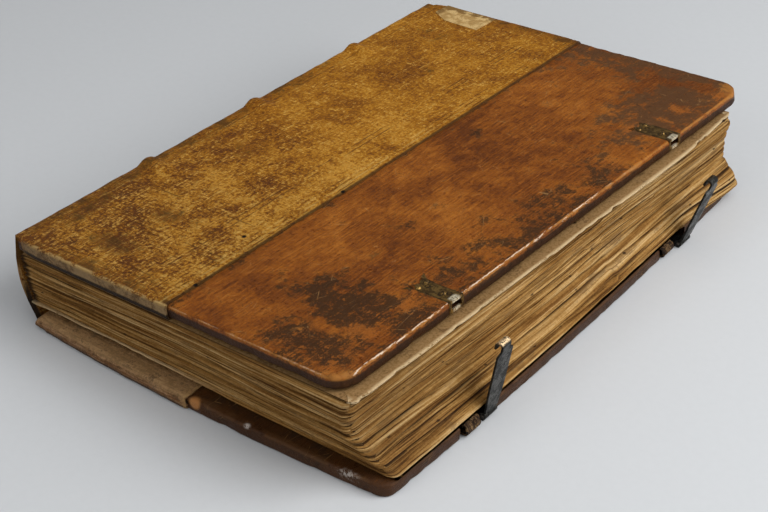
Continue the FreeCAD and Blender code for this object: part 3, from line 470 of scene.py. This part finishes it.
def twistedCord(name):
    f = Finish(name)
    at = f.onBench()
    strand = f.node("ShaderNodeTexWave", {"wave_type": "BANDS", "bands_direction": "DIAGONAL"},
                    {"Vector": at, "Scale": 0.35, "Distortion": 1.5, "Detail": 2}, "Fac")
    wearAndSheen = f.cloud(at, 3, 4, 0.7)
    base = f.colours(strand, (0.13, 0.07, 0.03), (0.34, 0.21, 0.10))
    base = f.colours(wearAndSheen.step(0.5, 0.75) * 0.5, base, (0.07, 0.035, 0.015))
    f.give(Base_Color=base, Roughness=0.8, Normal=f.relief(strand + wearAndSheen * 0.4, 0.0004))
    return f.material


finishes = {
    "upperWood": boardWood("upper board wood", "cover"),
    "lowerWood": boardWood("lower board wood", "bench"),
    "coverLeather": coverLeather("golden cover leather"),
    "lowerLeather": grimyShadedLeather("grimy lower leather with painted shade"),
    "strap": strapLeather("torn clasp strap"),
    "pages": pageEdges("page edges"),
    "catch": catchMetal("patinated brass"),
    "clasp": oldMetal("dark clasp plate", (0.045, 0.043, 0.037), (0.014, 0.0135, 0.0115), 0.5, hooks=True),
    "iron": oldMetal("old iron", (0.16, 0.14, 0.12), (0.04, 0.03, 0.022), 0.7),
    "label": plainPaper("bare label paper"),
    "cord": twistedCord("sewing cord"),
}
print("finishes mixed:", len(finishes))

bySlot = {"lower_slips": "cord", "upper_slips": "cord", "lower_pegs": "lowerWood", "upper_pegs": "upperWood",
          "tail_sewing_support": "cord", "middle_sewing_support": "cord", "head_sewing_support": "cord",
          "paper_label": "label", "tail_catch_plate": "catch", "head_catch_plate": "catch",
          "tail_catch_rivets": "catch", "head_catch_rivets": "catch", "tail_clasp_arm": "clasp",
          "head_clasp_arm": "clasp", "tail_clasp_anchor": "clasp", "head_clasp_anchor": "clasp",
          "tail_clasp_pin": "iron", "head_clasp_pin": "iron", "clasp_anchor_rivets": "iron"}
for name, finish in bySlot.items():
    for holder in nodes[name].material_slots:
        holder.material = finishes[finish]


def asPiece(name, bm, place, finish, body, replaced=()):
    mesh = bpy.data.meshes.new(name)
    bm.transform(place)
    bm.to_mesh(mesh)
    bm.free()
    mesh.shade_smooth()
    mesh.set_sharp_from_angle(angle=math.radians(50))
    mesh.materials.append(finishes[finish])
    piece = bpy.data.objects.new(name, mesh)
    bpy.context.scene.collection.objects.link(piece)
    if body:
        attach(piece, body)
    if replaced:
        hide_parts(*replaced)
    print(name, len(mesh.polygons), "faces")
    return piece


pages = {"gatherings": 20, "cuts": 119, "bow": 2.4, "wave": 1.5, "hollow": (10, 4.6), "corner": 4.5,
         "low": [(-10.7, 5.5, 8.3), (207.5, 5.5, 8.3), (207.5, 312, 8.3), (-6.8, 312, 8.3)],
         "high": [(1.3, -1, -8.3), (212.6, -1, -8.3), (212.6, 305.5, -8.3), (1.3, 305.5, -8.3)]}


def gatheringPlace(height, along, run, side):
    # how far up the gatherings a place lies, the groove nearest to it, its depth and the gathering's roundness
    count = pages["gatherings"]
    at = height * count
    limits = [0]
    for n in range(1, count):
        limits.append(n + 0.28 * math.sin(2.4 * n) + 0.32 * rough((run / 70, n * 9.1, side), 1, 6))
    limits.append(count)
    n = next((k for k in range(count) if at <= limits[k + 1]), count - 1)
    share = (at - limits[n]) / (limits[n + 1] - limits[n])
    pair = n - n % 2
    double = (at - limits[pair]) / (limits[pair + 2] - limits[pair])
    joined = smooth(0.3, 0.75, along)
    away, edge = min((at - limits[n], n), (limits[n + 1] - at, n + 1))
    strength = 1 if edge % 2 == 0 else mix(0.6, 0.1, joined)
    rounded = mix(math.sqrt(max(1 - (2 * share - 1) ** 2, 0)), math.sqrt(max(1 - (2 * double - 1) ** 2, 0)), joined)
    return n + share, edge, strength * math.exp(-(away / 0.27) ** 2), rounded


def pagePoint(across, along, height):
    low = [Vector(c) for c in pages["low"]]
    high = [onBench @ Vector(c) for c in pages["high"]]
    corners = [a.lerp(b, height) for a, b in zip(low, high)]
    point = corners[0].lerp(corners[1], across).lerp(corners[3].lerp(corners[2], across), along)
    ends, swell = math.sin(math.pi * along), math.sin(math.pi * height)
    point.x += pages["bow"] * (1 - height) * ends * across
    point.x -= mix(*pages["hollow"], along) * math.sin(math.pi * height ** 0.85) * across ** 6
    point.x += (1.8 * smooth(0.3, 0, height) - 3.2 * smooth(0.82, 1, height) * smooth(0.82, 1, along)) * across ** 3
    sway = math.sin(2 * math.pi * (1.6 * along + 0.35 * height)) * (0.35 + 0.65 * along)
    point.z += pages["wave"] * swell * sway * ends * across ** 3
    point.z += 0.9 * swell * rough((along * 5, height * 3, 0), 1, 11) * across ** 3
    tailShare = 1 - smooth(0, 0.15, along)
    point.z += 1.5 * swell * rough((across * 5.5, height * 2, 4), 1, 12) * tailShare
    point.y -= 2.5 * swell * smooth(0.6, 1, across) * (1 - along) ** 12
    return point


def makePages():
    bm = bmesh.new()
    bmesh.ops.create_cube(bm, size=1)
    bmesh.ops.subdivide_edges(bm, edges=bm.edges[:], cuts=pages["cuts"], use_grid_fill=True)
    leaf = bm.verts.layers.float_vector.new("leaf")
    sunk = bm.verts.layers.float.new("sunk")
    bright = bm.verts.layers.float.new("bright")
    radius = pages["corner"]
    for vert in bm.verts:
        across, along, height = vert.co.x + 0.5, vert.co.y + 0.5, vert.co.z + 0.5
        fore, tail, head = across > 0.999, along < 0.001, along > 0.999
        across, along = mix(across, smooth(0, 1, across), 0.6), mix(along, smooth(0, 1, along), 0.6)
        point = pagePoint(across, along, height)
        run = along * 306 if fore else across * 212 + 400
        side = 0 if fore else 31 if tail else 57
        place, edge, crease, rounded = gatheringPlace(height, along, run, side)
        cleft = crease * (0.75 + 0.8 * abs(rough((run / 60, edge * 5.3, side), 1, 2)) + 0.4 * (edge % 4 == 0))
        number = int(place) // 2 if along > 0.6 else int(place)
        drift = 1.5 * rough((run / 110, number * 3.7, side), 1, 3) + 1.5 * rounded - 0.8
        drift += 0.35 * rough((run / 12, height * 60, side), 1, 5)
        outward = drift - 2.3 * cleft
        lip = under = 0
        if height > 0.90 and fore:
            ragged = 0.9 * rough((run / 26, 4, side), 1, 9) - 3.2 * max(rough((run / 5, 2, side), 1, 8) - 0.22, 0)
            lip = smooth(0.962, 0.972, height)
            under = smooth(0.90, 0.93, height) * (1 - lip)
            outward = mix(mix(outward, -1.3, smooth(0.90, 0.93, height)), 1.2 + ragged, lip)
        if tail:
            last = smooth(0.012, 0.03, height) * smooth(0.10, 0.06, height) * (1 - smooth(0.32, 0.62, across))
            under = smooth(0.03, 0.012, height) * (1 - smooth(0.4, 0.7, across))
            lifted = 2.2 + 0.8 * rough((run / 14, 0, 0), 1, 14) + 0.6 * rough((run / 4, 0, 0), 1, 15)
            outward = mix(outward, lifted, last)
            outward = mix(outward, -1.4, under)
            point.z += (1.2 + 0.7 * rough((run / 24, 3, 0), 1, 16)) * last
            lip = 0.55 * last * smooth(0.025, 0.045, height)
        calm = smooth(0.8, 1, along) * smooth(0.3, 0.1, height)
        if fore:
            point.x += mix(outward, 0.35 * outward, calm) + 4.6 * calm * smooth(0, 0.05, height)
            point.z -= 2.4 * calm * smooth(0.2, 0.03, height)
            near = min(along, 1 - along) * 306
            if near < radius:
                point.x -= radius * (1 - math.sqrt(1 - (1 - near / radius) ** 2))
        if tail or head:
            point.y += (-1 if tail else 1) * 0.7 * outward
            near = (1 - across) * 212
            if near < radius:
                point.y += (1 if tail else -1) * radius * (1 - math.sqrt(1 - (1 - near / radius) ** 2))
        point.z -= 0.9 * smooth(0.52, 0.6, across) * smooth(0.14, 0, height)
        vert.co = point
        vert[leaf] = (across * 212, along * 306, place)
        outside = fore or tail or head
        atSpine = 0.9 * smooth(0.03, 0, across) if tail or head else 0
        # painted shade mask: grows where the edge is sunk inward, under the lip and beside the spine
        vert[sunk] = max(smooth(0.3, 2.2, -outward), 0.8 * under, atSpine) if outside else 0
        vert[bright] = lip if outside else 0
    bmesh.ops.recalc_face_normals(bm, faces=bm.faces[:])
    return asPiece("pages", bm, bench, "pages", "pages", ["text_block"])


makePages()


def boardLines(length, fine):
    # where a board is cut across: close together beside its worn edges
    at, lines = 0.0, []
    while at < length:
        near = min(at, length - at) if fine == "both" else length - at
        at += 1.0 if near < 5 else 1.8 if near < 14 else 3.2
        if at < length - 0.5:
            lines.append(at)
    return lines


def makeBoard(which):
    width, height, thick = board["width"], board["height"], board["thickness"]
    floor = -thick if which == "upper" else 0
    bm = bmesh.new()
    bmesh.ops.create_cube(bm, size=1, matrix=Matrix.Translation((width / 2, height / 2, floor + thick / 2))
                          @ Matrix.Diagonal((width, height, thick, 1)))
    upright = [e for e in bm.edges if all(v.co.x > 1 for v in e.verts)
               and abs(e.verts[0].co.z - e.verts[1].co.z) > 1]
    bmesh.ops.bevel(bm, geom=upright, offset=board["corner"][which], segments=7, profile=0.5, affect="EDGES",
                    material=-1)
    rim = [e for e in bm.edges if abs(e.verts[0].co.z - e.verts[1].co.z) < 0.1
           and not all(v.co.x < 1 for v in e.verts) and len(e.link_faces) == 2
           and abs(e.link_faces[0].normal.z) + abs(e.link_faces[1].normal.z) < 1.5]
    bmesh.ops.bevel(bm, geom=rim, offset=board["arris"], segments=3, profile=0.5, affect="EDGES", material=-1)
    for direction, length, fine in (((1, 0, 0), width, "far"), ((0, 1, 0), height, "both")):
        for at in boardLines(length, fine):
            bmesh.ops.bisect_plane(bm, geom=bm.verts[:] + bm.edges[:] + bm.faces[:], dist=0.0001,
                                   plane_co=Vector(direction) * at, plane_no=direction)
    edge = board["leather"][which]
    for vert in bm.verts:
        x, y, z = vert.co
        side = min(width - x, y, height - y)
        top = z > floor + thick - 1.2
        wear = smooth(7, 0.5, side)
        bite = max(rough((x, y, z * 2), 5.5, 4) + 0.25 * rough((x, y, z), 1.6, 6), 0)
        inward = wear * (0.9 * bite + 0.35 * max(rough((x, y, 0), 28, 9), 0))
        if side == width - x:
            vert.co.x -= inward
        elif side == y:
            vert.co.y += inward
        else:
            vert.co.y -= inward
        if top or z < floor + 1.2:
            sink = 0.12 * rough((x, y * 0.5, 0), 14, 1) + 0.05 * rough((x, y, 0), 3, 2) - wear * 0.35 * bite
            vert.co.z += sink if top else -sink
        beside = min(abs(y - catch) for catch in board["catches"])
        if which == "upper" and top and x > 180 and beside < 7:  # flat and a little lower under the catch plates
            vert.co.z = min(vert.co.z, -0.5) if beside < 3.6 and x > 186 else min(z, 0.0)
        outer = z > floor + thick - 1.2 if which == "upper" else z < floor + 1.2
        if outer and x < edge - 0.4:
            vert.co.z += -0.7 if which == "upper" else 1.1
        if which == "lower":
            vert.co.y -= board["tailBow"] * (1 - ((x - width / 2) / (width / 2)) ** 2) * (1 - y / height)
            vert.co.x += board["foreBow"] * (1 - ((y - height / 2) / (height / 2)) ** 2) * (x / width) ** 4
            vert.co.z = max(vert.co.z, 0.05)
    bmesh.ops.recalc_face_normals(bm, faces=bm.faces[:])
    place = cover if which == "upper" else bench
    return asPiece(which + "-board", bm, place, which + "Wood", which + "_cover", [which + "_board"])


def cutAway(piece, place, boxes):
    # takes plain boxes out of a piece, each given by its two corners
    bm = bmesh.new()
    for low, high in boxes:
        low, high = Vector(low), Vector(high)
        bmesh.ops.create_cube(bm, size=1, matrix=Matrix.Translation((low + high) / 2)
                              @ Matrix.Diagonal((*(high - low), 1)))
    bm.transform(place)
    mesh = bpy.data.meshes.new("cutter")
    bm.to_mesh(mesh)
    bm.free()
    cutter = bpy.data.objects.new("cutter", mesh)
    bpy.context.scene.collection.objects.link(cutter)
    cut = piece.modifiers.new("cut", "BOOLEAN")
    cut.object = cutter
    cut.solver = "EXACT"
    bpy.context.view_layer.update()
    whole = piece.evaluated_get(bpy.context.evaluated_depsgraph_get())
    cutMesh = bpy.data.meshes.new_from_object(whole)
    piece.modifiers.remove(cut)
    piece.data = cutMesh
    bpy.data.objects.remove(cutter)


upperBoard = makeBoard("upper")
cutAway(upperBoard, cover, [((203.5, c - 3.5, -4.6), (209, c + 3.5, -1.3)) for c in board["catches"]])
lowerBoard = makeBoard("lower")
cutAway(lowerBoard, bench, [((205.4, c - 22, -1), (215, c + 5.8, 9)) for c in board["clasps"]])


leather = {"thickness": 1.0, "turnIn": 14, "seam": 2.0, "bands": (88, 166, 247), "bandWidth": 11, "bandHeight": 3.4,
           "ridgeLength": 26, "ridgeHeight": 2.2, "spineThickness": 1.5, "spineGap": 0.35,
           "foot": (-10.4, 1.3), "hinge": (-3.9, -0.9), "bulge": 4.2, "footTail": 4.4}


def alongPath(points, share):
    # the point at a share of a path's length
    lengths = [(b - a).length for a, b in zip(points, points[1:])]
    left = share * sum(lengths)
    for a, b, length in zip(points, points[1:], lengths):
        if left <= length or b is points[-1]:
            return a.lerp(b, min(left / length, 1) if length else 0)
        left -= length


def roundedPath(points, *radii):
    # a path whose corners are turned in four short steps
    path = [Vector(points[0])]
    for a, b, c, radius in zip(points, points[1:], points[2:], radii):
        a, b, c = Vector(a), Vector(b), Vector(c)
        start = b + (a - b).normalized() * radius
        end = b + (c - b).normalized() * radius
        for k in range(5):
            t = k / 4
            path.append(start * (1 - t) ** 2 + b * 2 * t * (1 - t) + end * t ** 2)
    path.append(Vector(points[-1]))
    return path


def skin(columns, rows, shape):
    # a closed sheet: shape gives the outer point for depth 0 and the inner one for depth 1
    bm = bmesh.new()
    for depth in (0, 1):
        made = bmesh.ops.create_grid(bm, x_segments=columns, y_segments=rows, size=0.5)["verts"]
        for vert in made:
            vert.co = shape(vert.co.x + 0.5, vert.co.y + 0.5, depth)
    bmesh.ops.bridge_loops(bm, edges=[e for e in bm.edges if e.is_boundary])
    bmesh.ops.recalc_face_normals(bm, faces=bm.faces[:])
    return bm


def bandShare(y):
    best = 0
    for place in leather["bands"]:
        away = abs(y - place) / (leather["bandWidth"] / 2)
        if away < 1:
            best = (1 - away ** 2) ** 0.75
    return best


def cornerDip(x, y):
    # how far the leather is drawn in at the spine's worn head and tail corners
    return smooth(14, -6, x) * (2.0 * smooth(18, -1, y) - 3.6 * smooth(298, 321, y))


def makeUpperLeather():
    turn = leather["turnIn"]
    outer = roundedPath([(0, turn, -8), (0, -1, -8), (0, -1, 0.4), (0, 321, 0.4), (0, 321, -8), (0, 306, -8)],
                        1.5, 1.5, 1.5, 1.5)
    inner = roundedPath([(0, turn, -7), (0, 0, -7), (0, 0, -0.6), (0, 320, -0.6), (0, 320, -7), (0, 306, -7)],
                        0.6, 0.6, 0.6, 0.6)

    def shape(across, along, depth):
        x = mix(leather["seam"], 104, across ** 0.8)
        point = alongPath(inner if depth else outer, along)
        onTop = point.z > -1
        if not depth:
            ridge = leather["ridgeHeight"] * bandShare(point.y) * smooth(leather["ridgeLength"], -6, x)
            lift = ridge + 0.16 * rough((x, point.y, 0), 17, 2) + 0.08 * rough((x, point.y, 0), 5, 3)
            for line, depthOfLine in ((97.2, 0.22), (99.0, 0.3), (101.6, 0.22)):
                lift -= depthOfLine * math.exp(-((x - line) / 0.45) ** 2)
            if onTop:
                point.z += lift - 0.5 * smooth(103, 104.2, x)
            else:
                point.y += (-1 if point.y < 100 else 1) * 0.12 * rough((x, 0, point.z), 6, 4)
        ragged = 0.5 * rough((0, point.y, 3), 9, 5) + 0.25 * rough((0, point.y, 3), 2.4, 6)
        return Vector((x + ragged * smooth(98, 104, x), point.y + cornerDip(x, point.y), point.z))

    bm = skin(110, 210, shape)
    return asPiece("upper-leather", bm, cover, "coverLeather", "upper_cover",
                   ["upper_cover_leather"])


def makeLowerLeather():
    turn = leather["turnIn"]
    outer = roundedPath([(0, turn, 8), (0, -1.6, 8), (0, -1, 0), (0, 321, 0), (0, 321.6, 8), (0, 306, 8)],
                        3.4, 1.5, 1.5, 3.4)
    inner = roundedPath([(0, turn, 7), (0, 0, 7), (0, 0, 1), (0, 320, 1), (0, 320, 7), (0, 306, 7)],
                        0.6, 0.6, 0.6, 0.6)

    def shape(across, along, depth):
        x = mix(-5.5, 98, across ** 1.5)
        point = alongPath(inner if depth else outer, along)
        shoulder = min(max((2.5 - x) / 8, 0), 1)
        if shoulder > 0 and point.z > 1.65:
            point.z -= 4.6 * (1 - math.sqrt(1 - shoulder ** 2)) * (point.z - 1.65) / 6.35
        elif shoulder > 0:
            point.z = 1.65 + 0.3 * depth
        bow = board["tailBow"] * (1 - ((x - 104) / 104) ** 2) * (1 - point.y / 320)
        torn = (2.2 * rough((0, point.y, point.z * 2), 5, 5) - 0.8) * smooth(92, 98, x)
        out = 0.3 * rough((x, point.y, point.z * 2), 9, 4) + 0.15 * rough((x, point.y, point.z), 2.5, 5)
        out = 0 if depth else out
        away = point.y - bow + (-out if point.y < 100 else out)
        return Vector((x + torn, away, max(point.z, 0.05)))

    bm = skin(60, 190, shape)
    return asPiece("lower-leather", bm, bench, "lowerLeather", "lower_cover",
                   ["lower_cover_leather"])


def footAlong(y):
    # where the spine's foot stands on the bench under a place on the upper cover
    return mix(leather["footTail"], 316.5, y / 320)


def spineOutline(y, bump):
    # the spine skin's outer line at one place, from under the lower board, round the foot, up and over the hinge
    footX, footZ = leather["foot"]
    base = footAlong(y)
    hinge = onBench @ Vector((leather["hinge"][0], y, leather["hinge"][1]))
    foot = Vector((footX, base, footZ))
    middle = (foot + hinge) / 2 - Vector((leather["bulge"] + bump, 0, 0))
    line = [Vector((leather["seam"], base, 0)), Vector((-3, base, 0)), Vector((footX + 2.0, base, 0)),
            Vector((footX + 0.5, base, 0.35)), foot]
    for k in range(1, 12):
        t = k / 12
        arc = foot * (1 - t) * (1 - 2 * t) + middle * 4 * t * (1 - t) + hinge * t * (2 * t - 1)
        line.append(arc)
    ridge = bump / leather["bandHeight"] * leather["ridgeHeight"]
    for x, z in ((-3.95, -0.9), (-3.8, -0.35), (-3.2, 0.1), (-2.2, 0.35), (-0.5, 0.4), (2.0, 0.4)):
        line.append(onBench @ Vector((x - ridge * 0.3 * (x < -2), y, z + ridge * smooth(-4.2, -2, x))))
    return line


def makeSpine():
    turn, thick = leather["turnIn"], leather["spineThickness"]
    fold = [Vector((turn, thick + leather["spineGap"], 0)), Vector((1.0, thick + leather["spineGap"], 0)),
            Vector((-0.4, thick * 0.9, 0)), Vector((-1.0, 0.9, 0)), Vector((-0.6, 0.15, 0)), Vector((0.6, 0, 0)),
            Vector((319.4, 0, 0)), Vector((320.6, 0.15, 0)), Vector((321, 0.9, 0)), Vector((320.4, thick * 0.9, 0)),
            Vector((319, thick + leather["spineGap"], 0)), Vector((320 - turn, thick + leather["spineGap"], 0))]

    def shaped(start, end):
        def shape(across, along, depth):
            at = alongPath(fold, along)
            y, deep = at.x, at.y
            bump = leather["bandHeight"] * bandShare(y)
            line = spineOutline(y, bump)
            share = mix(start, end, across)
            point = alongPath(line, share)
            ahead = alongPath(line, min(share + 0.01, 1)) - alongPath(line, max(share - 0.01, 0))
            inward = Vector((ahead.z, 0, -ahead.x)).normalized()
            turned = turn < y < 320 - turn
            inset = thick if depth else 0
            if deep > 1 and not turned:
                inset = deep + (thick - 0.2 if depth else 0)
            elif depth and not turned and along in (0, 1):
                inset = thick
            lumps = 0 if depth else 0.3 * rough(point, 12, 3) + 0.15 * rough(point, 4, 4)
            point += inward * (inset + lumps)
            point.y += cornerDip(-4, y) * smooth(0.45, 0.9, share)
            point.z = max(point.z, 0.05)
            return point
        return shape

    upper = asPiece("spine-leather-upper", skin(30, 190, shaped(0.55, 1)), bench, "coverLeather", None,
                    ["spine_leather"])
    lower = asPiece("spine-leather-lower", skin(34, 190, shaped(0, 0.55)), bench, "coverLeather", None,
                    ["spine_leather"])
    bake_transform(upper)
    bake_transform(lower)


makeUpperLeather()
makeLowerLeather()
makeSpine()

strap = {"from": -19, "to": -9.5, "thickness": 0.9,
         "line": [(205.2, 1.4), (208.0, 0.9), (210.6, 1.6), (211.6, 3.6), (210.9, 5.6), (209.2, 6.3), (207.8, 5.4)]}


def makeStrap(which, clasp):
    # what is left of a clasp's leather strap, curled up in the notch beside the arm
    line = [Vector((x, 0, z)) for x, z in strap["line"]]

    def shape(across, along, depth):
        y = clasp + mix(strap["from"], strap["to"], across)
        share = along * (1 - 0.28 * abs(rough((0, y, 0), 2.2, clasp)) - 0.1 * across)
        point = alongPath(line, share)
        ahead = alongPath(line, min(share + 0.02, 1)) - alongPath(line, max(share - 0.02, 0))
        out = Vector((ahead.z, 0, -ahead.x)).normalized() * (strap["thickness"] * (1 - depth))
        wave = 0.9 * rough((y, share * 9, clasp), 3.5, 2) + 0.35 * rough((y, share * 9, depth * 4), 1.2, 3)
        return Vector((point.x + out.x + wave, y + 0.5 * rough((share * 8, 0, clasp), 1, 4),
                       max(point.z + out.z + wave, 0.1)))

    asPiece(which + "-strap-end", skin(14, 26, shape), bench, "strap", "lower_cover")


makeStrap("tail", board["clasps"][0])
makeStrap("head", board["clasps"][1])


def makeRoom():
    bm = bmesh.new()
    bmesh.ops.create_grid(bm, x_segments=1, y_segments=1, size=6)
    mesh = bpy.data.meshes.new("floor")
    bm.to_mesh(mesh)
    bm.free()
    f = Finish("pale floor")
    weave = f.cloud(f.place, 0.004, 2)
    f.give(Base_Color=f.colours(weave * 0.15, (0.60, 0.615, 0.63), (0.55, 0.565, 0.58)), Roughness=0.9)
    mesh.materials.append(f.material)
    floor = bpy.data.objects.new("floor", mesh)
    bpy.context.scene.collection.objects.link(floor)

    world = bpy.data.worlds.new("studio")
    bpy.context.scene.world = world
    world.use_nodes = True
    tree = world.node_tree
    backdrop = tree.nodes["Background"]
    backdrop.inputs[0].default_value = (0.95, 0.97, 1.0, 1)
    backdrop.inputs[1].default_value = 0.15
    seen = tree.nodes.new("ShaderNodeBackground")    # what the camera sees behind the floor
    seen.inputs[0].default_value = (0.60, 0.61, 0.62, 1)
    path = tree.nodes.new("ShaderNodeLightPath")
    either = tree.nodes.new("ShaderNodeMixShader")
    tree.links.new(path.outputs["Is Camera Ray"], either.inputs[0])
    tree.links.new(backdrop.outputs[0], either.inputs[1])
    tree.links.new(seen.outputs[0], either.inputs[2])
    tree.links.new(either.outputs[0], tree.nodes["World Output"].inputs[0])
    for name, power, size, place, aim in (
            ("key", 18, 1.1, (0.95, 0.35, 0.95), (0.05, 0, 0.03)),
            ("side", 2.5, 0.6, (1.1, -0.5, 0.35), (0.1, 0, 0.03)),
            ("front", 5, 0.9, (-0.25, -1.2, 0.75), (0, 0, 0.03)),
            ("over", 16, 3.0, (0, 0, 2.6), (0, 0, 0))):
        lamp = bpy.data.lights.new(name, "AREA")
        lamp.energy, lamp.size = power, size
        light = bpy.data.objects.new(name, lamp)
        light.location = place
        light.rotation_euler = (Vector(aim) - Vector(place)).to_track_quat("-Z", "Y").to_euler()
        bpy.context.scene.collection.objects.link(light)


camera = {"place": (0.44755, -0.61328, 0.51024), "azimuth": 37.2009, "height": 33.9906, "roll": -0.6053,
          "lens": 82.97}


def makeCamera():
    azimuth, height, roll = (math.radians(camera[key]) for key in ("azimuth", "height", "roll"))
    back = Vector((math.sin(azimuth) * math.cos(height), -math.cos(azimuth) * math.cos(height), math.sin(height)))
    right = Vector((0, 0, 1)).cross(back).normalized()
    up = back.cross(right)
    right, up = right * math.cos(roll) + up * math.sin(roll), up * math.cos(roll) - right * math.sin(roll)
    eye = bpy.data.cameras.new("camera")
    eye.sensor_width, eye.sensor_fit, eye.lens = 36, "HORIZONTAL", camera["lens"]
    stand = bpy.data.objects.new("camera", eye)
    stand.matrix_world = Matrix.Translation(camera["place"]) @ Matrix((right, up, back)).transposed().to_4x4()
    bpy.context.scene.collection.objects.link(stand)
    bpy.context.scene.camera = stand


makeRoom()
makeCamera()
bpy.context.scene.view_settings.view_transform = "Standard"
bpy.context.view_layer.update()
print("scene ready")
